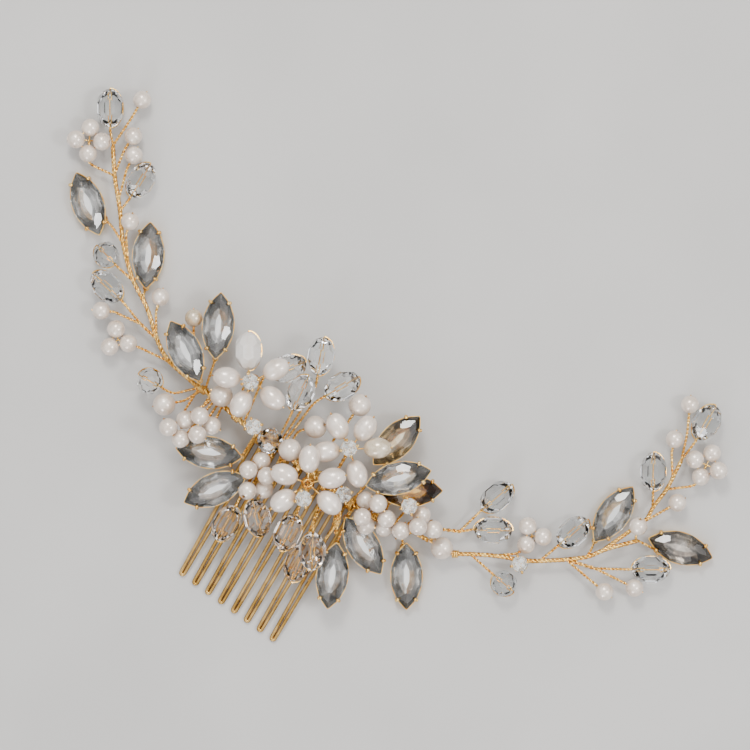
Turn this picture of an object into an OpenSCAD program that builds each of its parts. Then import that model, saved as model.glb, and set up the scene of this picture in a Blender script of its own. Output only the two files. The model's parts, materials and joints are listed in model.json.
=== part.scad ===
// Decorative bridal hair comb: a wire comb under a cluster of bead flowers,
// with a soft wire spray of pearls, crystals and claw-set stones on each side.
// Lies on its back: teeth towards -Y, ornament face up +Z, sprays left and right.

/* [Comb] */
// Number of double-wire teeth
teeth = 8; // [6:12]
// Distance from one tooth to the next
tooth_pitch = 3.5; // [2.8:0.1:4.2]
// Length of a tooth from the bar to its tip
tooth_length = 35; // [28:1:44]
// Thickness of the tooth wire
tooth_wire_d = 0.8; // [0.6:0.05:1]
// Thickness of the bar the teeth are bound to
bar_d = 1.3; // [1:0.1:1.6]
// Height of the bar's centre above the surface the comb lies on
bar_z = 3; // [2.5:0.1:3.6]
// How far the bar runs downhill to the right, in degrees
bar_lean = 5.8; // [0:0.1:8]

/* [Wire] */
// Thickness of a twisted twig
twig_d = 0.7; // [0.5:0.05:0.8]
// Thickness of a spray's twisted stem
stem_d = 1.1; // [0.9:0.05:1.4]
// Thickness of the twisted spine over the bar
spine_d = 1.3; // [1:0.05:1.6]
// Height of the spray stems above the surface
stem_z = 3; // [2.6:0.1:3.6]
// Thickness of the binding and wrapping wire
wrap_d = 0.5; // [0.4:0.05:0.6]

/* [Beads] */
// Small pearl
pearl_d = 4; // [3.2:0.1:4.8]
// Large pearl
big_pearl_d = 5; // [4:0.1:6]
// Length of a petal's rice pearl
rice_l = 6.2; // [5:0.1:7.5]
// Thickness of a petal's rice pearl
rice_d = 4.6; // [3.8:0.1:5.5]
// Length of an oval crystal
oval_l = 8.4; // [7:0.1:10]
// Thickness of an oval crystal
oval_d = 5.8; // [4.8:0.1:7]
// Round faceted crystal
round_d = 5.6; // [4.6:0.1:6.8]
// Hole through every bead
bead_bore = 1; // [0.9:0.05:1.2]

/* [Stones] */
// Length of a pointed oval stone
stone_l = 14.4; // [12:0.2:17]
// Width of a pointed oval stone
stone_w = 6.8; // [5.6:0.1:8]
// Width of a round rhinestone
chaton_d = 3.4; // [2.8:0.1:4.1]
// Rim of a setting beyond its stone
rim = 0.2; // [0.1:0.05:0.4]
// Thickness of a setting's back
plate_t = 0.3; // [0.2:0.05:0.5]

/* [Layout] */
// Reach of the left spray from its bend to its last pearl
left_reach = 62; // [51:1:75]
// Reach of the right spray from its bend to its last pearl
right_reach = 65; // [54:1:78]
// Height of the middle flower above the surface
flower_z = 13.4; // [12:0.2:15]

/* [Hidden] */

// Places are given from the middle of the comb bar, then moved so that the
// middle of the whole part's footprint is at the origin.
middle = [-2.4, -10.8, 0];

bore_r = bead_bore / 2;
bar_l = teeth * tooth_pitch + 1.6;
spine_z = bar_z + (bar_d + spine_d) / 2 + 0.1;
stone_arc = (stone_l * stone_l / 4 + stone_w * stone_w / 4) / stone_w;
girdle_z = 1.9;     // stone's widest level above the back of its setting
chaton_z = 1.7;     // the same on a round rhinestone
tail = 0.5;         // wire left showing beyond a bead

// A line of wire through points. Each length stops just short of a bend, inside a ball
// that is a little larger than the wire.
function turn(p, j) = let (a = p[j] - p[j - 1], b = p[j + 1] - p[j])
  acos(min(1, a * b / norm(a) / norm(b)));
function short(p, j, d) = j <= 0 || j >= len(p) - 1 ? 0 : d / 2 * tan(turn(p, j) / 2) + 0.03;
module wire(points, d, n = 10) {
  for (i = [0 : len(points) - 2]) {
    v = points[i + 1] - points[i];
    from = short(points, i, d);
    translate(points[i]) rotate([0, acos(v[2] / norm(v)), atan2(v[1], v[0])])
      translate([0, 0, from])
        cylinder(h = norm(v) - from - short(points, i + 1, d), d = d, $fn = n);
  }
  if (len(points) > 2) for (j = [1 : len(points) - 2])
    translate(points[j]) sphere(r = 1.04 * norm([d / 2, short(points, j, d)]), $fn = n);
}

// Turn the +X axis to a heading and lift, at a place
module aim(p, heading, lift) {
  translate(p) rotate([0, 0, heading]) rotate([0, -lift, 0]) children();
}
function dir(heading, lift = 0) =
  [cos(lift) * cos(heading), cos(lift) * sin(heading), sin(lift)];
function flat(p, z) = [p[0], p[1], z];
function heading_of(v) = atan2(v[1], v[0]);
function lift_of(v) = asin(v[2] / norm(v));

// ---- beads, bored along X ----
module round_bead(d) {
  rotate([0, 90, 0]) rotate_extrude($fn = 48) intersection() {
    circle(d = d, $fn = 48);
    translate([bore_r, -d]) square([d, 2 * d]);
  }
}
module rice_bead() {
  arc = (rice_l * rice_l / 4 + rice_d * rice_d / 4) / rice_d;
  sunk = arc - rice_d / 2;
  end = sqrt(arc * arc - (sunk + bore_r) * (sunk + bore_r));
  rotate([0, 90, 0]) rotate_extrude($fn = 48) polygon([for (k = [0 : 12])
    let (x = end * (k / 6 - 1)) [sqrt(arc * arc - x * x) - sunk, x]]);
}
module cut_bead(l, d) {
  rotate([0, 90, 0]) rotate_extrude($fn = 8) polygon([
    [bore_r * 1.1, -0.5 * l], [0.25 * d, -0.5 * l], [0.42 * d, -0.32 * l], [0.5 * d, -0.1 * l],
    [0.5 * d, 0.1 * l], [0.42 * d, 0.32 * l], [0.25 * d, 0.5 * l], [bore_r * 1.1, 0.5 * l]]);
}

// ---- pointed oval stone and its four-claw setting, long axis on X ----
sides = 6;
function outline_y(x) = sqrt(stone_arc * stone_arc - x * x) - (stone_arc - stone_w / 2);
half_turn = asin(stone_l / 2 / stone_arc);
function outline(s, z) = [for (k = [0 : 2 * sides - 1])
  let (side = k < sides ? 1 : -1, t = half_turn * (1 - 2 * (k % sides) / sides) * side,
    x = stone_arc * sin(t), y = side * (stone_arc * cos(t) - (stone_arc - stone_w / 2)))
  [s * x, s * y, z]];
module pointed_stone() {
  levels = [[0.2, -1.5], [0.62, -0.9], [1, 0], [1, 0.3], [0.82, 0.95], [0.52, 1.4]];
  n = 2 * sides;
  points = [for (v = levels) each outline(v[0], girdle_z + v[1])];
  skin = [for (r = [0 : len(levels) - 2], k = [0 : n - 1])
    let (a = r * n + k, b = r * n + (k + 1) % n) each [[a, a + n, b + n], [a, b + n, b]]];
  bottom = [[for (k = [0 : n - 1]) k]];
  top = [[for (k = [0 : n - 1]) len(points) - 1 - k]];
  polyhedron(points, concat(skin, bottom, top));
}
module pointed_oval(grow) {
  intersection_for (s = [-1, 1])
    translate([0, s * (stone_arc - stone_w / 2)]) circle(r = stone_arc + grow, $fn = 96);
}
module pointed_setting() {
  difference() {
    linear_extrude(girdle_z - 0.3) pointed_oval(rim);
    translate([0, 0, plate_t]) linear_extrude(girdle_z) pointed_oval(-0.25);
    translate([0, 0, -1]) linear_extrude(3) pointed_oval(-2.1);
  }
  x = 0.36 * stone_l;
  for (sx = [-1, 1], sy = [-1, 1]) {
    translate([sx * x, sy * (outline_y(x) + 0.42), 0.15]) cylinder(h = 2.6, d = 0.7, $fn = 24);
    translate([sx * x, sy * (outline_y(x) + 0.38), 2.8]) sphere(d = 0.8, $fn = 24);
    translate([sx * (x - 0.1), sy * (outline_y(x) + 0.12), 3.02]) sphere(d = 0.76, $fn = 24);
  }
}

// ---- round rhinestone and its four-claw cup ----
module round_stone() {
  r = chaton_d / 2;
  rotate_extrude($fn = 10) polygon([[0, chaton_z - 1.3], [0.25, chaton_z - 1.25], [r, chaton_z],
    [r, chaton_z + 0.2], [0.6 * r, chaton_z + 0.85], [0, chaton_z + 0.85]]);
}
module round_cup() {
  r = chaton_d / 2;
  rotate_extrude($fn = 48) polygon([[0, 0], [r + 0.1, 0], [r + 0.1, chaton_z - 0.4],
    [r - 0.3, chaton_z - 0.4], [r - 0.3, plate_t], [0, plate_t]]);
  for (a = [45 : 90 : 315]) rotate([0, 0, a]) {
    translate([r + 0.3, 0, 0.15]) cylinder(h = 2.1, d = 0.5, $fn = 24);
    translate([r + 0.27, 0, 2.3]) sphere(d = 0.6, $fn = 24);
    translate([r + 0.08, 0, 2.5]) sphere(d = 0.62, $fn = 24);
  }
}

// ---- the comb ----
module along_bar(x) { rotate([0, 0, -bar_lean]) translate([x, 0, 0]) children(); }
function bar_y(x) = -x * tan(bar_lean);
module tooth(x) {
  d = tooth_wire_d;
  top = 0.25 * tooth_pitch;
  low = 0.56 * d;
  tip = [bar_y(x) - tooth_length + d / 2, d / 2 + 0.02];
  for (s = [-1, 1]) {
    wire([[x + s * (0.5 * tooth_pitch - 0.06), bar_y(x) + 1.3, bar_z - 1.2],
      [x + s * top, bar_y(x) + 1.3, bar_z - 1.2],
      [x + s * top, bar_y(x) - 4, bar_z - 0.9],
      [x + s * (top - 0.3 * (top - low)), bar_y(x) - 0.4 * tooth_length, bar_z - 0.9],
      [x + s * (top - 0.75 * (top - low)), bar_y(x) - 0.75 * tooth_length, bar_z - 1.6],
      [x + s * low, tip[0], tip[1]]], d, 8);
    translate([x + s * low, tip[0], tip[1]]) sphere(d = d * 1.05, $fn = 8);
  }
  translate([x - low, tip[0], tip[1]]) rotate([0, 90, 0]) cylinder(h = 2 * low, d = 0.88 * d, $fn = 8);
}
module comb_teeth() {
  color("#b99349") for (i = [0 : teeth - 1]) tooth((i - (teeth - 1) / 2) * tooth_pitch);
}
module comb_bar() {
  color("#b99349") along_bar(-bar_l / 2) translate([0, 0, bar_z]) rotate([0, 90, 0])
    cylinder(h = bar_l, d = bar_d, $fn = 32);
}
module ring(r) {
  rotate([0, 90, 0]) rotate_extrude($fn = 48) translate([r, 0]) circle(d = wrap_d, $fn = 24);
}
module bar_binding() {
  r = (bar_d + spine_d) / 2 + 0.05 + wrap_d / 2 + 0.15;
  color("#d9a441") for (i = [0 : teeth - 1])
    along_bar((i - (teeth - 1) / 2) * tooth_pitch)
      translate([0, 0, (bar_z + spine_z) / 2]) ring(r);
}

// ---- spine over the bar, and wraps round it ----
spine = [[-30.4, 4, stem_z + 0.2], [-26, 3.8, 3.8], [-15.5, 1.6, spine_z], [15.5, -1.6, spine_z],
  [21, -1.1, 3.8], [27.7, 0, stem_z]];
function on_spine(x) =
  x < -26 ? spine[0] + (spine[1] - spine[0]) * (x + 30.4) / 4.4 :
  x < -15.5 ? spine[1] + (spine[2] - spine[1]) * (x + 26) / 10.5 :
  x < 15.5 ? spine[2] + (spine[3] - spine[2]) * (x + 15.5) / 31 :
  x < 21 ? spine[3] + (spine[4] - spine[3]) * (x - 15.5) / 5.5 :
  spine[4] + (spine[5] - spine[4]) * (x - 21) / 6.7;
module spine_wire() { color("#d9a441") wire(spine, spine_d); }
module spine_wraps() {
  color("#d9a441") for (x = [-28.5, -24, -19, 18.5, 23, 26])
    translate(on_spine(x)) rotate([0, 0, x < 0 ? -12 : 6]) ring(spine_d / 2 + wrap_d / 2 + 0.1);
}

// ---- things in the middle: [x, y, z, heading, lift, wire behind it, where it leaves the spine] ----
upper_ovals = [[-23.9, 16.4, 9.4, 120, 5, 1, -20], [-14.6, 17.4, 5.6, 50, 0, 1.5, -17],
  [-9.6, 23.3, 7.5, 110, 5, 3, -8], [-9.4, 14.1, 9, 95, 10, 2, -8.6], [-2.3, 19.9, 7.2, 60, 5, 3, -7.4]];
lower_ovals = [[-9.3, -18.9, 5.9, -88, -4, 2, -9.5], [-4, -14.4, 7.2, -45, 0, 1.5, -9],
  [3.4, -13.8, 7.4, -85, 0, 2, 2], [10.1, -14.5, 10.6, -62, -8, 2, 7], [8.7, -18.7, 5.4, -80, -4, 3, 5.5]];
round_crystals = [[-39.5, -0.2, 5, 180, 5, 3, -29.4], [-10, 1.7, 8.5, 10, 60, 0.6, -11.5]];
big_pearls = [[-34.2, -3.1, 5, 220, 5, 2, -28.6], [-24.2, 4.9, 7.3, 90, 70, 0.5, -24.4],
  [-5.2, 2.2, 11.5, 45, 70, 2, -6.6], [-2.9, 9.3, 9, 43, 30, 2, -6], [3.1, 18.3, 8.8, 85, 15, 3, 0.5]];
left_bunch = [[-30.7, -6.8, 11.2, 240, 70, 3.6, -29.4], [-28.4, -3.6, 8.6, 180, 60, 1, -26.4],
  [-26, -1.2, 11, 20, 70, 2, -25.6], [-22.7, -1.8, 8.5, -90, 70, 1, -23],
  [-27.2, -7.7, 9.2, 250, 50, 1, -25], [-24.4, -5, 10.9, 270, 75, 2, -24]];
middle_bunch = [[-9.4, -3.1, 8.6, 20, 70, 1, -9], [-10.9, -6.1, 10.9, 180, 60, 3, -10],
  [-6.8, -5.3, 10.8, 250, 60, 3, -6.4], [-8.8, -10.2, 10, 265, 35, 3, -8], [-5.8, -8.2, 8, 260, 30, 2, -6]];
right_bunch = [[14.6, 0.9, 9, 60, 70, 1, 14], [17.3, 1.7, 12.4, 70, 75, 2, 17],
  [15.8, -2.6, 12.3, 300, 75, 3, 15.6], [20.6, -0.3, 10.9, 270, 75, 1, 19.4],
  [21.2, -2.3, 7.4, 300, 60, 0.6, 21], [17.4, -3.9, 8.7, 290, 60, 1, 17.8],
  [24.6, -1, 9.6, 0, 75, 2, 24], [26.9, 4.2, 8, 60, 45, 1, 24.8], [27.4, 1.7, 11.2, 30, 70, 3, 25.6],
  [30.8, 2.8, 7.6, 40, 50, 2, 26.6]];
dull_pearl = [-38.1, 16.6, 4.6, 120, 0, 3, -29.4];

function entry(v, half) = [v[0], v[1], v[2]] - dir(v[3], v[4]) * (half + v[5]);
module bead_twig(v, half) {
  wire([on_spine(v[6]), entry(v, half), [v[0], v[1], v[2]] + dir(v[3], v[4]) * (half + tail)],
    twig_d, 8);
}
module beads(list) { for (v = list) aim([v[0], v[1], v[2]], v[3], v[4]) children(); }

// ---- rhinestones in the middle: [x, y, z of the back, where it leaves the spine] ----
loose_stones = [[-14.6, 2.6, 10.4, -15.4], [9.8, -0.4, 9.4, 10], [23.5, 4.6, 10.4, 22.6]];

// ---- pointed stones: [x, y, z of the back, heading, where the twig meets it, side, spine place] ----
upper_stones = [[-35.9, 9.4, 7, 146, -1, 1, -30.2], [-32.5, 17.8, 5, 115, -1, 1, -28],
  [14, 15.6, 4.8, 76, -0.7, -1, 12], [18.4, 8.7, 8.7, 43, -0.6, -1, 16], [21.9, 7.4, 4.8, 30, -0.6, -1, 20]];
lower_stones = [[-20.4, -7.3, 4.2, 202, -1, 1, -13.5], [-15.2, -13.6, 5.4, 233, -1, 1, -11],
  [16.6, -17.2, 4.6, 292, -1, 1, 12.5], [19.2, -8.1, 4, 332, -1, 1, 13.5], [30.9, -9.3, 0, 300, -0.9, -1, 24.4]];
function meeting(v) = let (x = v[4] * stone_l / 2, y = v[5] * outline_y(x), h = v[3])
  [v[0] + x * cos(h) - y * sin(h), v[1] + x * sin(h) + y * cos(h), v[2] + 0.85];
module at_stones(list) {
  for (v = list) translate([v[0], v[1], v[2]]) rotate([0, 0, v[3]]) children();
}

// ---- flowers: [x, y, z], then each petal's heading and how much further out it sits ----
flowers = [[[-19.7, 11.2, flower_z - 3.4], [[57, 0], [-11, 0], [-88, 0], [202, 0.2]]],
  [[6, 8.9, flower_z - 3], [[148, 0], [83, 0], [32, 0.4], [-44, 0], [216, -0.5]]],
  [[1.8, -2.1, flower_z], [[116, -0.3], [189, -0.2], [42, -0.2], [245, 0.9], [-12, 0.7]]]];
flower_stone_at = [[-20.1, 10.8, flower_z - 2.2], [5.8, 9, flower_z - 1.6], [2.7, -5.4, flower_z + 1.8]];
petal_r = 2.6 + rice_l / 2;
petal_lift = 8;
module petals(f) {
  for (a = f[1]) aim(f[0] + (petal_r + a[1]) * dir(a[0], petal_lift), a[0], petal_lift) rice_bead();
}

module petal_wires() {
  color("#e0b25a") for (f = flowers, a = f[1])
    wire([f[0] + 0.95 * dir(a[0], petal_lift),
      f[0] + (petal_r + a[1] + rice_l / 2 + tail) * dir(a[0], petal_lift)], twig_d, 24);
}
module flower_hubs() {
  color("#e0b25a") for (i = [0 : 2]) {
    f = flowers[i];
    s = flower_stone_at[i];
    translate(f[0]) sphere(d = 2.2, $fn = 32);
    wire([on_spine(f[0][0]), f[0] - [0, 0, 3], f[0] - [0, 0, 0.4]], 1);
    wire([f[0] + [0, 0, 0.3], [s[0], s[1], s[2] + 0.1]], twig_d, 24);
  }
}
module flower_left_petals() { color("#f4efe6") petals(flowers[0]); }
module flower_right_petals() { color("#f4efe6") petals(flowers[1]); }
module flower_middle_petals() { color("#f4efe6") petals(flowers[2]); }
module flower_stones() { color("#dfe8ee") for (s = flower_stone_at) translate(s) round_stone(); }
module flower_cups() { color("#e0b25a") for (s = flower_stone_at) translate(s) round_cup(); }

module centre_twigs() {
  color("#e0b25a") {
    for (v = upper_ovals) bead_twig(v, oval_l / 2);
    for (v = lower_ovals) bead_twig(v, oval_l / 2);
    for (v = round_crystals) bead_twig(v, round_d / 2);
    for (v = big_pearls) bead_twig(v, big_pearl_d / 2);
    for (b = [left_bunch, middle_bunch, right_bunch, [dull_pearl]], v = b) bead_twig(v, pearl_d / 2);
    for (v = loose_stones) wire([on_spine(v[3]), [v[0], v[1], v[2] + 0.15]], twig_d, 8);
    for (b = [upper_stones, lower_stones], v = b) wire([on_spine(v[6]), meeting(v)], twig_d, 8);
  }
}
module centre_upper_stones() { color("#dfe8ee") at_stones(upper_stones) pointed_stone(); }
module centre_upper_settings() { color("#d9a441") at_stones(upper_stones) pointed_setting(); }
module centre_lower_stones() { color("#dfe8ee") at_stones(lower_stones) pointed_stone(); }
module centre_lower_settings() { color("#d9a441") at_stones(lower_stones) pointed_setting(); }
module centre_upper_ovals() { color("#e9eef0") beads(upper_ovals) cut_bead(oval_l, oval_d); }
module centre_lower_ovals() { color("#e9eef0") beads(lower_ovals) cut_bead(oval_l, oval_d); }
module centre_round_crystals() { color("#e9eef0") beads(round_crystals) cut_bead(round_d, round_d); }
module centre_big_pearls() { color("#f4efe6") beads(big_pearls) round_bead(big_pearl_d); }
module centre_left_pearls() {
  color("#f4efe6") beads(concat(left_bunch, [dull_pearl])) round_bead(pearl_d);
}
module centre_middle_pearls() { color("#f4efe6") beads(middle_bunch) round_bead(pearl_d); }
module centre_right_pearls() { color("#f4efe6") beads(right_bunch) round_bead(pearl_d); }
module centre_rhinestones() {
  color("#dfe8ee") for (v = loose_stones) translate([v[0], v[1], v[2]]) round_stone();
}
module centre_rhinestone_cups() {
  color("#e0b25a") for (v = loose_stones) translate([v[0], v[1], v[2]]) round_cup();
}

// ---- sprays ----
left_bend = [-33, 4.6, 0];
right_bend = [29.5, 0, 0];
function over(p) = stem_z + (len(p) > 2 ? p[2] : 0);
function left_at(p) = flat(left_bend + (flat(p, 0) - left_bend) * left_reach / 62, over(p));
function right_at(p) = flat(right_bend + (flat(p, 0) - right_bend) * right_reach / 65, over(p));

// [root, knee, bead], by kind of bead; a third number is height above the stem
left_pearl_twigs = [[[-72.5, 40.5], [-72, 48], [-72, 52.5]], [[-69, 35], [-69.9, 41], [-69.7, 44.6]],
  [[-65.5, 31], [-67.3, 37.5], [-67.5, 41]], [[-56.5, 19.5], [-60.2, 25, 0.9], [-60.8, 28, 1.9]],
  [[-47.6, 9.6], [-54, 9], [-56.6, 7.8]], [[-43, 8.6], [-46, 13.5], [-46.8, 16.9]]];
left_oval_twigs = [[[-72.5, 40.5], [-74.7, 43.1], [-77.2, 47.4]], [[-64, 29], [-63.5, 32.3], [-63.4, 37]],
  [[-47.6, 9.6], [-53.3, 11.8], [-58.2, 13]]];
left_round_twigs = [[[-54, 17], [-58.5, 18], [-61.8, 19]]];
left_three_twig = [[-38, 5.5], [-45.2, 5], [-50.2, 4.1]];
left_four_twig = [[-69, 35], [-75.5, 34.4], [-77.6, 38.9]];
left_branch_line = [[-42.6, 8.4], [-48, 9.7]];
left_stem_line = [[-35.6, 5], [-38, 5.5], [-41, 7], [-44, 9.5], [-48, 13.4], [-54, 17], [-60, 23],
  [-64, 29], [-69, 35], [-72.5, 40.5]];
left_stone_places = [[-71, 26.7, 0, 140, -0.6, -1], [-53.8, 23.5, 0, 116, -1, 1]];
left_stone_roots = [[[-60, 23], [-63.5, 25]], [[-49.5, 14.3], [-50.2, 15.4]]];

right_pearl_twigs = [[[66, 13], [72, 13.4], [75.6, 13.6]], [[59.5, 11.5], [66.5, 10.2], [70.3, 9.6]],
  [[70.7, 22.6], [70.2, 23.3, 1.5], [69.4, 25.8, 2.9]], [[70.5, 28], [72.8, 31.8], [74.4, 34.6]],
  [[70.6, 39], [67.8, 43.5], [66.9, 46.4]], [[70.5, 43], [68.8, 48.6], [66, 54.7]]];
right_oval_twigs = [[[36, 5], [37.7, 11], [39.4, 15.8]], [[36, 5], [38.1, 6.8], [42.3, 9.1]],
  [[54.5, 8.2], [56.3, 13], [57.8, 17.5]], [[66, 13], [72.6, 16.6], [76.7, 19]],
  [[70.2, 31], [68.8, 33.6], [66.4, 37.9]], [[70.5, 43], [71.1, 48.2], [71.1, 53.1]]];
right_round_twigs = [[[40.5, 2], [46.4, 0.8], [50.2, 0.1]]];
right_three_twig = [[45.5, 4.5], [50, 7.6], [50.4, 12.3]];
right_four_twig = [[71, 36], [76.2, 40], [75.8, 45]];
right_stem_line = [[37.8, 0.4], [40.5, 2], [45.5, 4.5], [52.5, 7], [59.5, 11.5], [63.5, 14.5],
  [65.5, 17.5], [69, 21], [71, 23]];
right_upper_line = [[65.5, 17.5], [68, 23], [70.5, 28], [70.2, 31], [71, 36], [70.5, 43]];
right_stone_places = [[63.6, 25.4, 0, 85, -1, 1], [80.1, 26.3, 0, 13, -0.6, -1]];
right_stone_roots = [[[63, 14.2], [63.2, 16]], [[71, 23], [74, 23.2]]];
link_pearl = [34.5, 0];
link_wire = [31.3, 0];
lower_fork = [[59.5, 11.5], [66, 13]];
lone_cup = [51, 5.6];

function line_left(a) = [for (p = a) left_at(p)];
function line_right(a) = [for (p = a) right_at(p)];
function to_setting(v) = meeting([v[0], v[1], v[2], v[3], v[4], v[5]]);
function placed(v, q) = [q[0], q[1], v[2], v[3], v[4], v[5]];
function left_places() = [for (v = left_stone_places) placed(v, left_at([v[0], v[1]]))];
function right_places() = [for (v = right_stone_places) placed(v, right_at([v[0], v[1]]))];

module strung(t, half, up) {      // twig through a bead's bore, its root a little up or down
  v = t[2] - t[1];
  wire([t[0] + [0, 0, up], t[1], t[2] + v / norm(v) * (half + tail)], twig_d, 8);
}
module strung_beads(t) { aim(t[2], heading_of(t[2] - t[1]), lift_of(t[2] - t[1])) children(); }

// A bunch of three in a triangle, or of four in a square. The twig comes in through the
// first pearl, and a ball of wire in the middle carries the others.
function three(t) = let (h = heading_of(t[1] - t[2]))
  [for (a = [0, 120, 240]) 0.6 * pearl_d * dir(h + a)];
function four(t) = let (h = heading_of(t[1] - t[2]))
  [for (k = [0 : 3]) 0.72 * pearl_d * dir(h + 90 * k) + [0, 0, (k % 2) * 0.25 * pearl_d]];
module bunch(t, places) {
  for (p = places) aim(t[2] + p, heading_of(p), lift_of(p)) round_bead(pearl_d);
}
module bunch_wires(t, places) {
  v = t[2] - t[1];
  wire([t[0] - [0, 0, 0.4], t[1], t[2] - v / norm(v) * 0.3], twig_d, 8);
  for (k = [1 : len(places) - 1]) let (p = places[k])
    wire([t[2] + p * 0.4 / norm(p), t[2] + p * (1 + (pearl_d / 2 + tail) / norm(p))], 0.5, 8);
  translate(t[2]) sphere(d = 1, $fn = 12);
}

module left_bend_wire() {
  color("#d9a441") wire([flat([-30.55, 4.03], stem_z + 0.15), flat([-35.5, 5], stem_z)], stem_d, 24);
}
module left_stem() { color("#d9a441") wire(line_left(left_stem_line), stem_d); }
module left_branch() { color("#d9a441") wire(line_left(left_branch_line), stem_d * 0.8, 24); }
module left_twigs() {
  color("#e0b25a") {
    for (t = left_pearl_twigs) strung(line_left(t), pearl_d / 2, 0.4);
    for (t = left_oval_twigs) strung(line_left(t), oval_l / 2, -0.4);
    for (t = left_round_twigs) strung(line_left(t), round_d / 2, 0);
    bunch_wires(line_left(left_three_twig), three(left_three_twig));
    bunch_wires(line_left(left_four_twig), four(left_four_twig));
    for (i = [0, 1]) wire([left_at(left_stone_roots[i][0]), left_at(left_stone_roots[i][1]),
      to_setting(left_places()[i])], twig_d, 8);
  }
}
module left_small_pearls() {
  color("#f4efe6") for (t = left_pearl_twigs) strung_beads(line_left(t)) round_bead(pearl_d);
}
module left_pearl_clusters() {
  color("#f4efe6") {
    bunch(line_left(left_three_twig), three(left_three_twig));
    bunch(line_left(left_four_twig), four(left_four_twig));
  }
}
module left_oval_crystals() {
  color("#e9eef0") for (t = left_oval_twigs) strung_beads(line_left(t)) cut_bead(oval_l, oval_d);
}
module left_round_crystal() {
  color("#e9eef0") for (t = left_round_twigs) strung_beads(line_left(t)) cut_bead(round_d, round_d);
}
module left_stones() { color("#dfe8ee") at_stones(left_places()) pointed_stone(); }
module left_settings() { color("#d9a441") at_stones(left_places()) pointed_setting(); }

module right_bend_wire() {
  color("#d9a441") wire([[27.85, 0, stem_z], [31.05, 0, stem_z]], stem_d, 24);
}
module right_link_pearl() { color("#f4efe6") translate(right_at(link_pearl)) round_bead(big_pearl_d); }
module right_stem() {
  color("#d9a441") {
    wire(line_right(right_stem_line), stem_d);
    wire([flat(link_wire, stem_z), right_at([37.4, 0])], twig_d, 24);
    translate(right_at(right_stem_line[0])) sphere(d = 1.4 * stem_d, $fn = 12);
  }
}
module right_branches() {
  color("#d9a441") {
    wire(line_right(right_upper_line), 0.95 * stem_d);
    wire(line_right(lower_fork), stem_d * 0.8, 24);
    wire([flat(link_wire + [0.26, 0.25], stem_z), right_at([31.5, 3.2]), right_at([36.2, 5.2])],
      stem_d * 0.8);
  }
}
module right_twigs() {
  color("#e0b25a") {
    for (t = right_pearl_twigs) strung(line_right(t), pearl_d / 2, 0.4);
    for (t = right_oval_twigs) strung(line_right(t), oval_l / 2, -0.4);
    for (t = right_round_twigs) strung(line_right(t), round_d / 2, 0);
    bunch_wires(line_right(right_three_twig), three(right_three_twig));
    bunch_wires(line_right(right_four_twig), four(right_four_twig));
    for (i = [0, 1]) wire([right_at(right_stone_roots[i][0]), right_at(right_stone_roots[i][1]),
      to_setting(right_places()[i])], twig_d, 8);
  }
}
module right_small_pearls() {
  color("#f4efe6") for (t = right_pearl_twigs) strung_beads(line_right(t)) round_bead(pearl_d);
}
module right_pearl_clusters() {
  color("#f4efe6") {
    bunch(line_right(right_three_twig), three(right_three_twig));
    bunch(line_right(right_four_twig), four(right_four_twig));
  }
}
module right_oval_crystals() {
  color("#e9eef0") for (t = right_oval_twigs) strung_beads(line_right(t)) cut_bead(oval_l, oval_d);
}
module right_round_crystal() {
  color("#e9eef0") for (t = right_round_twigs) strung_beads(line_right(t)) cut_bead(round_d, round_d);
}
module right_stones() { color("#dfe8ee") at_stones(right_places()) pointed_stone(); }
module right_settings() { color("#d9a441") at_stones(right_places()) pointed_setting(); }
module right_rhinestone() {
  color("#dfe8ee") translate(flat(right_at(lone_cup), stem_z + stem_d / 2 - 0.05)) round_stone();
}
module right_rhinestone_cup() {
  color("#e0b25a") translate(flat(right_at(lone_cup), stem_z + stem_d / 2 - 0.05)) round_cup();
}

translate(middle) {
  comb_teeth();
  comb_bar();
  bar_binding();
  spine_wire();
  spine_wraps();
  centre_twigs();
  petal_wires();
  flower_hubs();
  flower_left_petals();
  flower_right_petals();
  flower_middle_petals();
  flower_stones();
  flower_cups();
  centre_upper_stones();
  centre_upper_settings();
  centre_lower_stones();
  centre_lower_settings();
  centre_upper_ovals();
  centre_lower_ovals();
  centre_round_crystals();
  centre_big_pearls();
  centre_left_pearls();
  centre_middle_pearls();
  centre_right_pearls();
  centre_rhinestones();
  centre_rhinestone_cups();
  left_bend_wire();
  left_stem();
  left_branch();
  left_twigs();
  left_small_pearls();
  left_pearl_clusters();
  left_oval_crystals();
  left_round_crystal();
  left_stones();
  left_settings();
  right_bend_wire();
  right_link_pearl();
  right_stem();
  right_branches();
  right_twigs();
  right_small_pearls();
  right_pearl_clusters();
  right_oval_crystals();
  right_round_crystal();
  right_stones();
  right_settings();
  right_rhinestone();
  right_rhinestone_cup();
}
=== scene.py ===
"""A bridal hair comb: wire teeth, bead flowers, cut crystals, claw-set stones, two wire sprays."""

import json
import math
import random

import bpy
import numpy as np
from mathutils import Matrix, Vector


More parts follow.
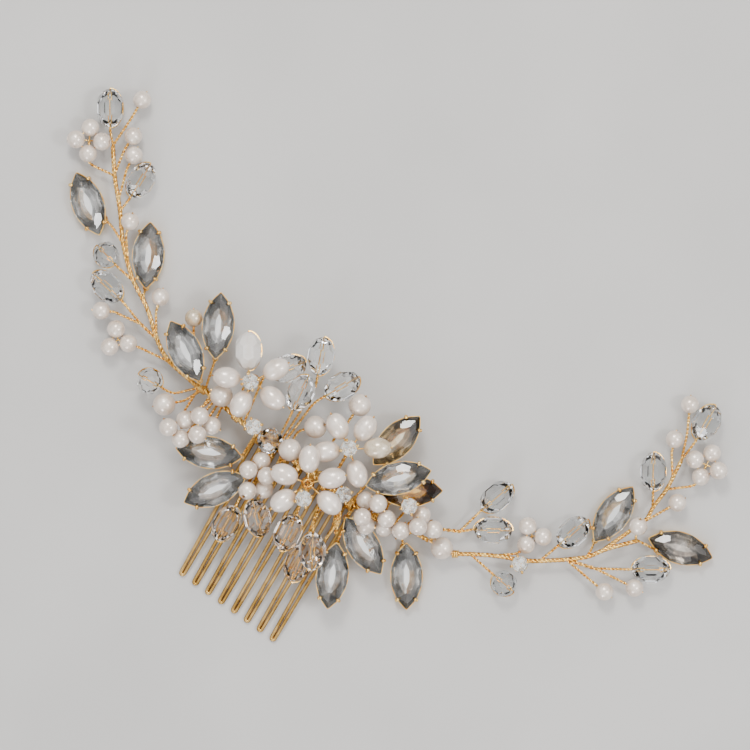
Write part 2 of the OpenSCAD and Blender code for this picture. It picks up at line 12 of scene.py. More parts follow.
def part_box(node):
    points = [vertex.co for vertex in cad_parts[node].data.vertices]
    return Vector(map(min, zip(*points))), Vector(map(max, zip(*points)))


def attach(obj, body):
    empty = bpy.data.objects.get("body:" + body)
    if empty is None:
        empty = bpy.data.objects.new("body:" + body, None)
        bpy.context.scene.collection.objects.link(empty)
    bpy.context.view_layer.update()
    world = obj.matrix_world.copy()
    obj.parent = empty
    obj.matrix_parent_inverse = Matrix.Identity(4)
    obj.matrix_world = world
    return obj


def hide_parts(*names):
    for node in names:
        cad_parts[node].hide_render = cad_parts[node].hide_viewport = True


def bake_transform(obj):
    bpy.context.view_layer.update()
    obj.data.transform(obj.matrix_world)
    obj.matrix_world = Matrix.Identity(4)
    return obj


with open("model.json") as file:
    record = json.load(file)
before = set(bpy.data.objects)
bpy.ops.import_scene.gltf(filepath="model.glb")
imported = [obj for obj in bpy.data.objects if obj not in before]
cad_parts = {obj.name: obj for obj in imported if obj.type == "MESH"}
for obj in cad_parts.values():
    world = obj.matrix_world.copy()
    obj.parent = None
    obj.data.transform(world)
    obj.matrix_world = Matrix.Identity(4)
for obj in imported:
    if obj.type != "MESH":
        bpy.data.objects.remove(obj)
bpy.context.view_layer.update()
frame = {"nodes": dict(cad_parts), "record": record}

MM = 0.001
bar_low, bar_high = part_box("comb_bar")
# The wire routes below are in millimetres from the middle of the comb bar, as in the CAD source.
BAR_MIDDLE = Vector(((bar_low.x + bar_high.x) / 2, (bar_low.y + bar_high.y) / 2, 0))

# sizes of the beads and stones, in millimetres, as in the CAD source
PEARL, BIG_PEARL = 4.0, 5.0
RICE_LENGTH, RICE_WIDTH = 6.2, 4.6
OVAL_LENGTH, OVAL_WIDTH = 8.4, 5.8
ROUND_CRYSTAL = 5.6
HOLE = 0.5
STONE_LENGTH, STONE_WIDTH = 14.4, 6.8
CHATON = 3.4
STEM_Z = 3.0
TEETH, TOOTH_PITCH, TOOTH_LENGTH, TOOTH_WIRE = 8, 3.5, 35, 0.8
BAR_LEAN = 5.8      # degrees that the bar leans from the left-right line
BAR_SPAN = TEETH * TOOTH_PITCH + 1.6
UP = Vector((0, 0, 1))


# ---------------------------------------------------------------- materials
def colour(code):
    """An sRGB hex colour as linear red, green, blue, alpha."""
    parts = [int(code[i:i + 2], 16) / 255 for i in (1, 3, 5)]
    return tuple(c / 12.92 if c <= 0.04045 else ((c + 0.055) / 1.055) ** 2.4 for c in parts) + (1,)


def add(mat, kind, values=None, links=None, **settings):
    """Adds a node: values go on its sockets, links bring another node's output to them."""
    node = mat.node_tree.nodes.new(kind)
    for key, value in settings.items():
        setattr(node, key, value)
    for key, value in (values or {}).items():
        node.inputs[key].default_value = value
    for key, (source, output) in (links or {}).items():
        mat.node_tree.links.new(source.outputs[output], node.inputs[key])
    return node


def finish_of(name, spots, tones, rough, grain, height, **sockets):
    """A finish whose colour and gloss drift over spots (mm) and whose skin has a fine grain (mm)."""
    mat = bpy.data.materials.new(name)
    mat.use_nodes = True
    mat.node_tree.nodes.clear()
    where = add(mat, "ShaderNodeTexCoord")
    drift = add(mat, "ShaderNodeTexNoise", {"Scale": 1 / (spots * MM), "Detail": 3.0},
                {"Vector": (where, "Object")})
    ramp = add(mat, "ShaderNodeValToRGB", links={"Fac": (drift, "Fac")})
    for stop, (place, code) in zip(ramp.color_ramp.elements, ((0.36, tones[0]), (0.64, tones[1]))):
        stop.position, stop.color = place, colour(code)
    gloss = add(mat, "ShaderNodeMapRange",
                {"From Min": 0.3, "From Max": 0.7, "To Min": rough[0], "To Max": rough[1]},
                {"Value": (drift, "Fac")})
    fine = add(mat, "ShaderNodeTexNoise", {"Scale": 1 / (grain * MM), "Detail": 2.0},
               {"Vector": (where, "Object")})
    bump = add(mat, "ShaderNodeBump", {"Strength": height, "Distance": 0.02 * MM},
               {"Height": (fine, "Fac")})
    skin = add(mat, "ShaderNodeBsdfPrincipled", sockets,
               {"Base Color": (ramp, "Color"), "Roughness": (gloss, "Result"),
                "Normal": (bump, "Normal")})
    add(mat, "ShaderNodeOutputMaterial", links={"Surface": (skin, "BSDF")})
    return mat


PEARL_SKIN = {"Metallic": 0.3, "IOR": 1.6, "Coat Weight": 0.85, "Coat Roughness": 0.09, "Coat IOR": 1.65,
              "Sheen Weight": 0.15, "Sheen Roughness": 0.4, "Sheen Tint": colour("#EBC9DC")}
# Pearl-coated beads: warm white under a clear coat, with a faint pink bloom towards the edge.
pearl = finish_of("pearl coating, round beads", 2.4, ("#D3C1B0", "#E6D9CB"), (0.26, 0.38), 0.35, 0.25,
                  **PEARL_SKIN)
# The rice-shaped pearls are silkier and a little whiter than the round ones.
rice_pearl = finish_of("pearl coating, rice beads", 3.0, ("#DACABB", "#ECE0D4"), (0.28, 0.4), 0.3, 0.35,
                       **PEARL_SKIN)
# Some petals and pearls deep in the spray get a greyer, darker golden coat: painted shade, standing in
# for the shadow they sit in.
shadowed_pearl_paint = finish_of("pearl coating, painted shade", 2.4, ("#BFAC8C", "#D8CAB2"), (0.22, 0.34), 0.35, 0.3,
                       **PEARL_SKIN)
# Soft brass wire with a bright gold plate: drawn, twisted by hand, so its gloss wanders.
wire_gold = finish_of("gold-plated soft wire", 1.3, ("#D69D42", "#F0C977"), (0.14, 0.3), 0.12, 0.4,
                      Metallic=1.0)
# The comb's own wire is stiffer and its plating is duller and browner.
comb_gold = finish_of("gold-plated comb wire", 3.5, ("#A9823F", "#CBA766"), (0.22, 0.38), 0.1, 0.5,
                      Metallic=1.0)
# Claw settings are stamped sheet, polished and plated.
setting_gold = finish_of("polished gold-plated setting", 2.2, ("#D8A24A", "#F3D085"), (0.12, 0.24), 0.15,
                         0.3, Metallic=1.0)
GLASS = {"IOR": 1.54, "Transmission Weight": 1.0, "Specular IOR Level": 0.5}
# Clear cut glass beads: bright flats, dark edges, the wire seen inside.
crystal = finish_of("clear cut glass", 3.0, ("#F2F5F7", "#FFFFFF"), (0.0, 0.03), 0.8, 0.03, **GLASS)
peach_crystal = finish_of("clear cut glass, peach", 3.0, ("#FFF3E8", "#FFFAF5"), (0.0, 0.03), 0.8, 0.03,
                          **GLASS)
# A bead that is milky with a mother-of-pearl heart.
milky = finish_of("opal glass", 3.0, ("#E9E3DC", "#F8F4EF"), (0.04, 0.12), 0.6, 0.05, IOR=1.5,
                  **{"Transmission Weight": 0.35, "Coat Weight": 0.6})
stone_glass = finish_of("cut glass stone", 4.0, ("#FBFBFB", "#FFFFFF"), (0.0, 0.02), 0.9, 0.02,
                        **{**GLASS, "IOR": 1.56})
# The foil behind a stone throws the light back through its cut.
foil = finish_of("silver foil", 2.5, ("#E2E2E0", "#FCFBF8"), (0.1, 0.24), 0.25, 0.3, Metallic=1.0)
smoke_foil = finish_of("smoke foil", 2.5, ("#A79F94", "#E4DBCE"), (0.08, 0.2), 0.25, 0.3, Metallic=1.0)
beige_foil = finish_of("champagne foil", 2.5, ("#CDB48C", "#F3E6CC"), (0.08, 0.2), 0.25, 0.3,
                       Metallic=1.0)
amber_foil = finish_of("gold foil", 2.5, ("#C98F38", "#EBC06E"), (0.08, 0.2), 0.25, 0.3, Metallic=1.0)


# ---------------------------------------------------------------- workbench
def only(*objects):
    """Selects these objects and nothing else."""
    bpy.ops.object.select_all(action="DESELECT")
    for obj in objects:
        obj.select_set(True)
    bpy.context.view_layer.objects.active = objects[0]


def pick(obj, kind, test):
    """In edit mode, selects the vertices, edges or faces that pass a test, and nothing else."""
    bpy.ops.object.mode_set(mode="EDIT")
    bpy.ops.mesh.select_mode(type=kind)
    bpy.ops.mesh.select_all(action="DESELECT")
    bpy.ops.object.mode_set(mode="OBJECT")
    items = {"VERT": obj.data.vertices, "EDGE": obj.data.edges, "FACE": obj.data.polygons}[kind]
    for item in items:
        item.select = test(item)
    bpy.ops.object.mode_set(mode="EDIT")


def start(name, primitive, **shape):
    """A new primitive at the middle of the bench, in millimetres."""
    bpy.ops.object.select_all(action="DESELECT")
    primitive(**shape)
    made = bpy.context.object
    made.name = name
    return made


def stretch(obj, size):
    """Scales an object on the bench and makes the scale part of its shape."""
    obj.scale = size
    only(obj)
    bpy.ops.object.transform_apply(location=True, rotation=True, scale=True)


def round_bead(name, radius, length, rings):
    """A ball or rice bead drilled along Z, with softened hole edges."""
    bead = start(name, bpy.ops.mesh.primitive_uv_sphere_add, segments=32, ring_count=rings,
                 radius=radius)
    stretch(bead, (1, 1, length / 2 / radius))
    pick(bead, "FACE", lambda f: math.hypot(f.center.x, f.center.y) < HOLE * 0.9)
    bpy.ops.mesh.delete(type="FACE")
    bpy.ops.mesh.select_mode(type="EDGE")
    bpy.ops.mesh.select_non_manifold()
    bpy.ops.mesh.bridge_edge_loops()
    bpy.ops.mesh.select_all(action="SELECT")
    bpy.ops.mesh.normals_make_consistent(inside=False)
    bpy.ops.object.mode_set(mode="OBJECT")
    rim = max(v.co.z for v in bead.data.vertices) - 0.01
    points = bead.data.vertices
    pick(bead, "EDGE", lambda e: all(abs(points[i].co.z) > rim for i in e.vertices))
    bpy.ops.mesh.bevel(offset=0.09, segments=2, affect="EDGES")
    bpy.ops.object.mode_set(mode="OBJECT")
    only(bead)
    bpy.ops.object.shade_smooth_by_angle(angle=math.radians(50))
    return bead


def cut_block(name, size, cuts):
    """A block of glass ground flat by flat: each cut is a direction and how far out its flat lies."""
    block = start(name, bpy.ops.mesh.primitive_cube_add, size=1)
    stretch(block, size)
    bpy.ops.object.mode_set(mode="EDIT")
    for way, far in cuts:
        way = Vector(way).normalized()
        bpy.ops.mesh.select_all(action="SELECT")
        bpy.ops.mesh.bisect(plane_co=way * far, plane_no=way, use_fill=True, clear_outer=True,
                            threshold=0.00001)
    bpy.ops.mesh.select_all(action="SELECT")
    bpy.ops.mesh.remove_doubles(threshold=0.02)
    bpy.ops.mesh.fill_holes(sides=0)
    bpy.ops.mesh.normals_make_consistent(inside=False)
    bpy.ops.object.mode_set(mode="OBJECT")
    return block


def drill(bead, length):
    """Opens a hole along Z between a cut bead's two end flats."""
    pick(bead, "FACE", lambda f: abs(f.center.z) > 0.49 * length and abs(f.normal.z) > 0.99)
    bpy.ops.mesh.inset(thickness=0.75, use_boundary=True)
    bpy.ops.mesh.bridge_edge_loops()
    bpy.ops.mesh.select_all(action="SELECT")
    bpy.ops.mesh.normals_make_consistent(inside=False)
    bpy.ops.object.mode_set(mode="OBJECT")


def cut_bead(name, length, width, sides):
    """A glass bead with three rows of flats, long ones round its middle, drilled along Z."""
    a, c = 0.475 * width, 0.5 * length
    cuts = []
    for lift, turn in ((0, 0), (30, 0.5), (-30, 0.5), (58, 0), (-58, 0)):
        for k in range(sides):
            h, u = 2 * math.pi * (k + turn) / sides, math.radians(lift)
            way = Vector((math.cos(u) * math.cos(h), math.cos(u) * math.sin(h), math.sin(u)))
            cuts.append((way, math.sqrt((a * way.x) ** 2 + (a * way.y) ** 2 + (c * way.z) ** 2)))
    bead = cut_block(name, (width, width, 0.984 * length), cuts)
    drill(bead, 0.98 * length)
    return bead


def flat_at(across, reach, lift, height):
    """A cut that passes through a point: reach out along across, at a height, facing up by lift."""
    u = math.radians(lift)
    return across * math.cos(u) + UP * math.sin(u), math.cos(u) * reach + math.sin(u) * height


def pointed_stone(name, back):
    """A long stone pointed at both ends: table, two rows of crown flats, keel-backed below."""
    arc = (STONE_LENGTH ** 2 / 4 + STONE_WIDTH ** 2 / 4) / STONE_WIDTH
    offset = arc - STONE_WIDTH / 2
    cuts = [(UP, 1.4)]
    for side in (-1, 1):
        for angle in (0, 21, -21, 42, -42, 10.5, -10.5, 31.5, -31.5):
            t = math.radians(angle)
            across = Vector((math.sin(t), side * math.cos(t), 0))
            reach = arc - offset * math.cos(t)
            if angle % 21 == 0:
                cuts += [flat_at(across, reach, 0, 0), flat_at(across, reach, 52, 0.3),
                         flat_at(across, reach, -62, 0)]
            else:
                cuts += [flat_at(across, reach - 0.7, 68, 0.85), flat_at(across, reach, -48, -0.05)]
    return backed(cut_block(name, (STONE_LENGTH - 0.1, STONE_WIDTH * 1.1, 3.0), cuts), back)


def round_stone(name, back):
    """A round rhinestone with a table, star and main flats, and a cone behind."""
    r = CHATON / 2
    cuts = [(UP, 0.85)]
    for k in range(16):
        h = 2 * math.pi * k / 16
        across = Vector((math.cos(h), math.sin(h), 0))
        if k % 2:
            cuts += [flat_at(across, r - 0.42, 68, 0.55)]
        else:
            cuts += [flat_at(across, r, 0, 0), flat_at(across, r, 50, 0.2), flat_at(across, r, -53, 0)]
    return backed(cut_block(name, (2.2 * r, 2.2 * r, 2.6), cuts), back)


def backed(stone, back):
    """Puts foil on the faces that look down, and glass on the rest."""
    stone.data.materials.append(stone_glass)
    stone.data.materials.append(back)
    for face in stone.data.polygons:
        face.material_index = 1 if face.normal.z < -0.2 else 0
    return stone


# ---------------------------------------------------------------- places from the CAD nodes
def solids(node):
    """The points of each separate solid in a CAD node, as arrays in metres."""
    mesh = frame["nodes"][node].data
    points = np.array([v.co for v in mesh.vertices], float)
    keys, first = np.unique(np.round(points / (0.002 * MM)).astype(np.int64), axis=0,
                            return_inverse=True)
    first = first.reshape(-1)
    parent = list(range(len(keys)))

    def root(i):
        while parent[i] != i:
            parent[i] = parent[parent[i]]
            i = parent[i]
        return i

    for face in mesh.polygons:
        ids = [root(first[i]) for i in face.vertices]
        for i in ids[1:]:
            parent[root(i)] = root(ids[0])
    groups = {}
    for i in range(len(keys)):
        groups.setdefault(root(i), []).append(i)
    found = [keys[g] * 0.002 * MM for g in groups.values()]
    return sorted(found, key=lambda p: tuple(np.round(p.mean(0), 5)))


def places(node):
    """Middle and long axis (or bore) of each solid in a CAD node."""
    found = []
    for points in solids(node):
        middle = (points.min(0) + points.max(0)) / 2
        spread = (points - middle).T @ (points - middle)
        _, ways = np.linalg.eigh(spread)
        found.append((Vector(middle), Vector(ways[:, 2]).normalized()))
    return found


def level(way):
    """Where a bead stands up on its twig, the wire goes through it crosswise: the way it runs."""
    return way if abs(way.z) < 0.6 else way.cross(UP).normalized()


def threaded(node, turn=0.0):
    """Matrices that put a bead made on the bench where each bead of a CAD node is."""
    return [Matrix.Translation(middle) @ level(way).to_track_quat("Z", "Y").to_matrix().to_4x4()
            @ Matrix.Rotation(turn * k, 4, "Z") @ Matrix.Scale(MM, 4)
            for k, (middle, way) in enumerate(places(node))]


def laid(node, rise):
    """The same for a stone that lies face up: rise is from its lowest point to its girdle, in mm."""
    made = []
    for points in solids(node):
        middle = (points.min(0) + points.max(0)) / 2
        flat = (points - middle)[:, :2]
        _, ways = np.linalg.eigh(flat.T @ flat)
        heading = math.atan2(ways[1, 1], ways[0, 1])
        made.append(Matrix.Translation((middle[0], middle[1], points[:, 2].min() + rise * MM))
                    @ Matrix.Rotation(heading, 4, "Z") @ Matrix.Scale(MM, 4))
    return made


BODY = {n: b for b, members in frame["record"]["behaviour"]["bodies"].items() for n in members}


def joined(objects, name):
    """Several objects as one, under one name."""
    only(*objects)
    if len(objects) > 1:
        bpy.ops.object.join()
    objects[0].name = name
    return objects[0]


def stands_for(piece, node):
    """A piece takes a CAD node's place: its body and its part in the view."""
    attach(piece, BODY[node])
    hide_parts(node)
    return piece


def set_out(master, matrices, name, node, finish=None, backs=()):
    """Copies of a master, each with its own mesh, at their places, as one piece for a CAD node."""
    made = []
    for matrix in matrices:
        one = bpy.data.objects.new(name, master.data.copy())
        bpy.context.scene.collection.objects.link(one)
        if finish:
            one.data.materials.clear()
            one.data.materials.append(finish)
        for place, back in backs:
            if ((matrix.translation - at(*place)) * Vector((1, 1, 0))).length < 2 * MM:
                one.data.materials[-1] = back
        one.data.transform(matrix)
        made.append(one)
    return stands_for(joined(made, name), node)


# ---------------------------------------------------------------- wires
def at(*p):
    """A point in millimetres from the middle of the comb bar, as metres in the row frame."""
    return BAR_MIDDLE + Vector((p[0], p[1], p[2] if len(p) > 2 else STEM_Z)) * MM


def eased(points, bend=1.6, step=0.2):
    """A wire's route with its corners bent round, as closely spaced points."""
    corners = [points[0]]
    for before, corner, after in zip(points, points[1:], points[2:]):
        back, on = before - corner, after - corner
        cut = min(bend * MM, 0.45 * back.length, 0.45 * on.length)
        a, b = corner + back.normalized() * cut, corner + on.normalized() * cut
        corners += [a.lerp(corner, t / 3).lerp(corner.lerp(b, t / 3), t / 3) for t in range(4)]
    corners.append(points[-1])
    line = [corners[0]]
    for a, b in zip(corners, corners[1:]):
        count = max(1, round((b - a).length / (step * MM)))
        line += [a.lerp(b, k / count) for k in range(1, count + 1)]
    return line


def twist(line, strands, thick, pitch, phase=0.0):
    """The strands of a twisted wire along a line. Thick and pitch are in millimetres."""
    reach = thick / 2 * (1.0 if strands == 2 else 1.16) * MM
    out = [[] for _ in range(strands)]
    side, gone = None, 0.0
    for i, p in enumerate(line):
        ahead = (line[min(i + 1, len(line) - 1)] - line[max(i - 1, 0)]).normalized()
        side = (side or ahead.orthogonal())
        side = (side - ahead * side.dot(ahead)).normalized()
        across = ahead.cross(side)
        gone += (p - line[i - 1]).length if i else 0
        for k in range(strands):
            a = phase + 2 * math.pi * (gone / (pitch * MM) + k / strands)
            out[k].append(p + reach * (math.cos(a) * side + math.sin(a) * across))
    return out


def coil(a, b, radius, turns, lead=0.0):
    """A winding round the line from a to b, radius in millimetres."""
    way = (b - a).normalized()
    side = way.orthogonal().normalized()
    across = way.cross(side)
    count = round(turns * 16)
    return [a.lerp(b, i / count) + radius * MM * (math.cos(lead + 2 * math.pi * i / 16) * side
            + math.sin(lead + 2 * math.pi * i / 16) * across) for i in range(count + 1)]


def around(middle, way, tip, width, side):
    """A wire bent back over the outside of a bead, from its tip to its foot."""
    return [middle + way * tip * MM * math.cos(math.pi * t) + side * width * MM * math.sin(math.pi * t)
            for t in [k / 14 for k in range(15)]]


def drawn(name, parts, node=None, finish=wire_gold, sides=1):
    """A piece of wire: parts are (list of lines, thickness in mm). More sides make it rounder."""
    made = []
    for lines, thick in parts:
        if not lines:
            continue
        curve = bpy.data.curves.new(name, "CURVE")
        curve.dimensions = "3D"
        curve.bevel_depth = thick / 2 * MM
        curve.bevel_resolution = sides
        curve.use_fill_caps = True
        for line in lines:
            spline = curve.splines.new("POLY")
            spline.points.add(len(line) - 1)
            spline.points.foreach_set("co", [c for p in line for c in (p.x, p.y, p.z, 1)])
        wire = bpy.data.objects.new(name, curve)
        bpy.context.scene.collection.objects.link(wire)
        only(wire)
        bpy.ops.object.convert(target="MESH")
        wire = bpy.context.object
        made.append(wire)
    piece = joined(made, name)
    piece.data.materials.clear()
    piece.data.materials.append(finish)
    only(piece)
    bpy.ops.object.shade_smooth_by_angle(angle=math.radians(60))
    return stands_for(piece, node) if node else piece


# ---------------------------------------------------------------- routes, as in the CAD source
SPINE = [(-30.4, 4, 3.2), (-26, 3.8, 3.8), (-15.5, 1.6, 4.4), (15.5, -1.6, 4.4), (21, -1.1, 3.8),
         (27.7, 0, 3)]
# x, y, z, heading, lift, wire behind the bead, where its twig leaves the spine
CENTRE_OVALS = [(-23.9, 16.4, 9.4, 120, 5, 1, -20), (-14.6, 17.4, 5.6, 50, 0, 1.5, -17),
                (-9.6, 23.3, 7.5, 110, 5, 3, -8), (-9.4, 14.1, 9, 95, 10, 2, -8.6),
                (-2.3, 19.9, 7.2, 60, 5, 3, -7.4), (-9.3, -18.9, 5.9, -88, -4, 2, -9.5),
                (-4, -14.4, 7.2, -45, 0, 1.5, -9), (3.4, -13.8, 7.4, -85, 0, 2, 2),
                (10.1, -14.5, 10.6, -62, -8, 2, 7), (8.7, -18.7, 5.4, -80, -4, 3, 5.5)]
CENTRE_ROUNDS = [(-39.5, -0.2, 5, 180, 5, 3, -29.4), (-10, 1.7, 8.5, 10, 60, 0.6, -11.5)]
BIG_PEARLS = [(-34.2, -3.1, 5, 220, 5, 2, -28.6), (-24.2, 4.9, 7.3, 90, 70, 0.5, -24.4),
              (-5.2, 2.2, 11.5, 45, 70, 2, -6.6), (-2.9, 9.3, 9, 43, 30, 2, -6),
              (3.1, 18.3, 8.8, 85, 15, 3, 0.5)]
CENTRE_PEARLS = [
    (-30.7, -6.8, 11.2, 240, 70, 3.6, -29.4), (-28.4, -3.6, 8.6, 180, 60, 1, -26.4),
    (-26, -1.2, 11, 20, 70, 2, -25.6), (-22.7, -1.8, 8.5, -90, 70, 1, -23),
    (-27.2, -7.7, 9.2, 250, 50, 1, -25), (-24.4, -5, 10.9, 270, 75, 2, -24),
    (-9.4, -3.1, 8.6, 20, 70, 1, -9), (-10.9, -6.1, 10.9, 180, 60, 3, -10),
    (-6.8, -5.3, 10.8, 250, 60, 3, -6.4), (-8.8, -10.2, 10, 265, 35, 3, -8),
    (-5.8, -8.2, 8, 260, 30, 2, -6), (14.6, 0.9, 9, 60, 70, 1, 14), (17.3, 1.7, 12.4, 70, 75, 2, 17),
    (15.8, -2.6, 12.3, 300, 75, 3, 15.6), (20.6, -0.3, 10.9, 270, 75, 1, 19.4),
    (21.2, -2.3, 7.4, 300, 60, 0.6, 21), (17.4, -3.9, 8.7, 290, 60, 1, 17.8),
    (24.6, -1, 9.6, 0, 75, 2, 24), (26.9, 4.2, 8, 60, 45, 1, 24.8), (27.4, 1.7, 11.2, 30, 70, 3, 25.6),
    (30.8, 2.8, 7.6, 40, 50, 2, 26.6), (-38.1, 16.6, 4.6, 120, 0, 3, -29.4)]
LOOSE_STONES = [(-14.6, 2.6, 10.4, -15.4), (9.8, -0.4, 9.4, 10), (23.5, 4.6, 10.4, 22.6)]
# x, y, z of the back, heading, where the twig meets it along its half length, side, spine place
CENTRE_STONES = [(-35.9, 9.4, 7, 146, -1, 1, -30.2), (-32.5, 17.8, 5, 115, -1, 1, -28),
                 (14, 15.6, 4.8, 76, -0.7, -1, 12), (18.4, 8.7, 8.7, 43, -0.6, -1, 16),
                 (21.9, 7.4, 4.8, 30, -0.6, -1, 20), (-20.4, -7.3, 4.2, 202, -1, 1, -13.5),
                 (-15.2, -13.6, 5.4, 233, -1, 1, -11), (16.6, -17.2, 4.6, 292, -1, 1, 12.5),
                 (19.2, -8.1, 4, 332, -1, 1, 13.5), (30.9, -9.3, 0, 300, -0.9, -1, 24.4)]
# each flower's hub, its petals' headings and how much further out each sits, and its rhinestone
FLOWERS = [((-19.7, 11.2, 10), ((57, 0), (-11, 0), (-88, 0), (202, 0.2)), (-20.1, 10.8, 11.2)),
           ((6, 8.9, 10.4), ((148, 0), (83, 0), (32, 0.4), (-44, 0), (216, -0.5)), (5.8, 9, 11.8)),
           ((1.8, -2.1, 13.4), ((116, -0.3), (189, -0.2), (42, -0.2), (245, 0.9), (-12, 0.7)),
            (2.7, -5.4, 15.2))]
PETAL_LIFT = 8

# root, knee and bead, by kind of bead; a third number is the height above the surface
LEFT_PEARLS = [((-72.5, 40.5), (-72, 48), (-72, 52.5)), ((-69, 35), (-69.9, 41), (-69.7, 44.6)),
               ((-65.5, 31), (-67.3, 37.5), (-67.5, 41)),
               ((-56.5, 19.5), (-60.2, 25, 3.9), (-60.8, 28, 4.9)),
               ((-47.6, 9.6), (-54, 9), (-56.6, 7.8)), ((-43, 8.6), (-46, 13.5), (-46.8, 16.9))]
LEFT_OVALS = [((-72.5, 40.5), (-74.7, 43.1), (-77.2, 47.4)), ((-64, 29), (-63.5, 32.3), (-63.4, 37)),
              ((-47.6, 9.6), (-53.3, 11.8), (-58.2, 13))]
LEFT_ROUNDS = [((-54, 17), (-58.5, 18), (-61.8, 19))]
LEFT_THREE = ((-38, 5.5), (-45.2, 5), (-50.2, 4.1))
LEFT_FOUR = ((-69, 35), (-75.5, 34.4), (-77.6, 38.9))
LEFT_BRANCH = [(-42.6, 8.4), (-48, 9.7)]
LEFT_STEM = [(-35.6, 5), (-38, 5.5), (-41, 7), (-44, 9.5), (-48, 13.4), (-54, 17), (-60, 23),
             (-64, 29), (-69, 35), (-72.5, 40.5)]
LEFT_STONES = [((-71, 26.7, 0, 140, -0.6, -1), ((-60, 23), (-63.5, 25))),
               ((-53.8, 23.5, 0, 116, -1, 1), ((-49.5, 14.3), (-50.2, 15.4)))]
RIGHT_PEARLS = [((66, 13), (72, 13.4), (75.6, 13.6)), ((59.5, 11.5), (66.5, 10.2), (70.3, 9.6)),
                ((70.7, 22.6), (70.2, 23.3, 4.5), (69.4, 25.8, 5.9)),
                ((70.5, 28), (72.8, 31.8), (74.4, 34.6)),
                ((70.6, 39), (67.8, 43.5), (66.9, 46.4)), ((70.5, 43), (68.8, 48.6), (66, 54.7))]
RIGHT_OVALS = [((36, 5), (37.7, 11), (39.4, 15.8)), ((36, 5), (38.1, 6.8), (42.3, 9.1)),
               ((54.5, 8.2), (56.3, 13), (57.8, 17.5)), ((66, 13), (72.6, 16.6), (76.7, 19)),
               ((70.2, 31), (68.8, 33.6), (66.4, 37.9)), ((70.5, 43), (71.1, 48.2), (71.1, 53.1))]
RIGHT_ROUNDS = [((40.5, 2), (46.4, 0.8), (50.2, 0.1))]
RIGHT_THREE = ((45.5, 4.5), (50, 7.6), (50.4, 12.3))
RIGHT_FOUR = ((71, 36), (76.2, 40), (75.8, 45))
RIGHT_STEM = [(37.4, 0), (37.8, 0.4), (40.5, 2), (45.5, 4.5), (52.5, 7), (59.5, 11.5), (63.5, 14.5),
              (65.5, 17.5), (69, 21), (71, 23)]
RIGHT_UPPER = [(65.5, 17.5), (68, 23), (70.5, 28), (70.2, 31), (71, 36), (70.5, 43)]
RIGHT_FORK = [(59.5, 11.5), (66, 13)]
RIGHT_STONES = [((63.6, 25.4, 0, 85, -1, 1), ((63, 14.2), (63.2, 16))),
                ((80.1, 26.3, 0, 13, -0.6, -1), ((71, 23), (74, 23.2)))]
LONE_CUP = (51, 5.6)

TWIG, STEM, THREAD = 0.34, 0.5, 0.3      # strands of a twig and a stem, and the wire inside a bead
TWIG_PITCH, STEM_PITCH = 1.7, 2.9


def way_of(heading, lift=0.0):
    h, u = math.radians(heading), math.radians(lift)
    return Vector((math.cos(u) * math.cos(h), math.cos(u) * math.sin(h), math.sin(u)))


def on_spine(x):
    for a, b in zip(SPINE, SPINE[1:]):
        if x <= b[0]:
            return at(*a).lerp(at(*b), (x - a[0]) / (b[0] - a[0]))
    return at(*SPINE[-1])


def edge_of_stone(x):
    arc = (STONE_LENGTH ** 2 / 4 + STONE_WIDTH ** 2 / 4) / STONE_WIDTH
    return math.sqrt(arc ** 2 - x ** 2) - (arc - STONE_WIDTH / 2)


def meeting(v):
    """Where a twig meets a stone's setting."""
    x = v[4] * STONE_LENGTH / 2
    y = v[5] * edge_of_stone(x)
    h = math.radians(v[3])
    return at(v[0] + x * math.cos(h) - y * math.sin(h), v[1] + x * math.sin(h) + y * math.cos(h),
              v[2] + 0.85)


def bead_wire(middle, way, half, width, back=0):
    """The plain wire through a bead, and for a clear bead the length bent back over its outside."""
    ahead = way.normalized()
    if abs(ahead.z) > 0.6:      # drilled crosswise: the wire comes round under the bead
        across = level(ahead)
        hang = (ahead - across * ahead.dot(across)).normalized() * -1
        return [around(middle, across, half + 0.1, half + 0.15, hang)]
    lines = [[middle - ahead * (half + 0.2) * MM, middle + ahead * (half + 0.15) * MM]]
    if back:
        side = ahead.cross(UP).normalized() * back
        side = (side - UP * 0.35).normalized()
        side = (side - ahead * side.dot(ahead)).normalized()
        lines.append(around(middle, ahead, half + 0.2, width / 2 + 0.12, side))
    return lines


def twig_to_bead(root, knee, middle, half, width, back, phase):
    """A twisted twig from its root to a bead, with the wire through the bead."""
    way = (middle - knee).normalized()
    foot = middle - way * (half - 0.1) * MM
    twisted = twist(eased([root, knee, foot]), 2, TWIG, TWIG_PITCH, phase)
    return twisted, bead_wire(middle, way, half, width, back)


def bunch_places(twig, count):
    h = math.atan2(twig[1][1] - twig[2][1], twig[1][0] - twig[2][0])
    reach = (0.6 if count == 3 else 0.72) * PEARL
    return [at(twig[2][0] + reach * math.cos(h + 2 * math.pi * k / count),
               twig[2][1] + reach * math.sin(h + 2 * math.pi * k / count),
               STEM_Z + (0.25 * PEARL if count == 4 and k % 2 else 0)) for k in range(count)]


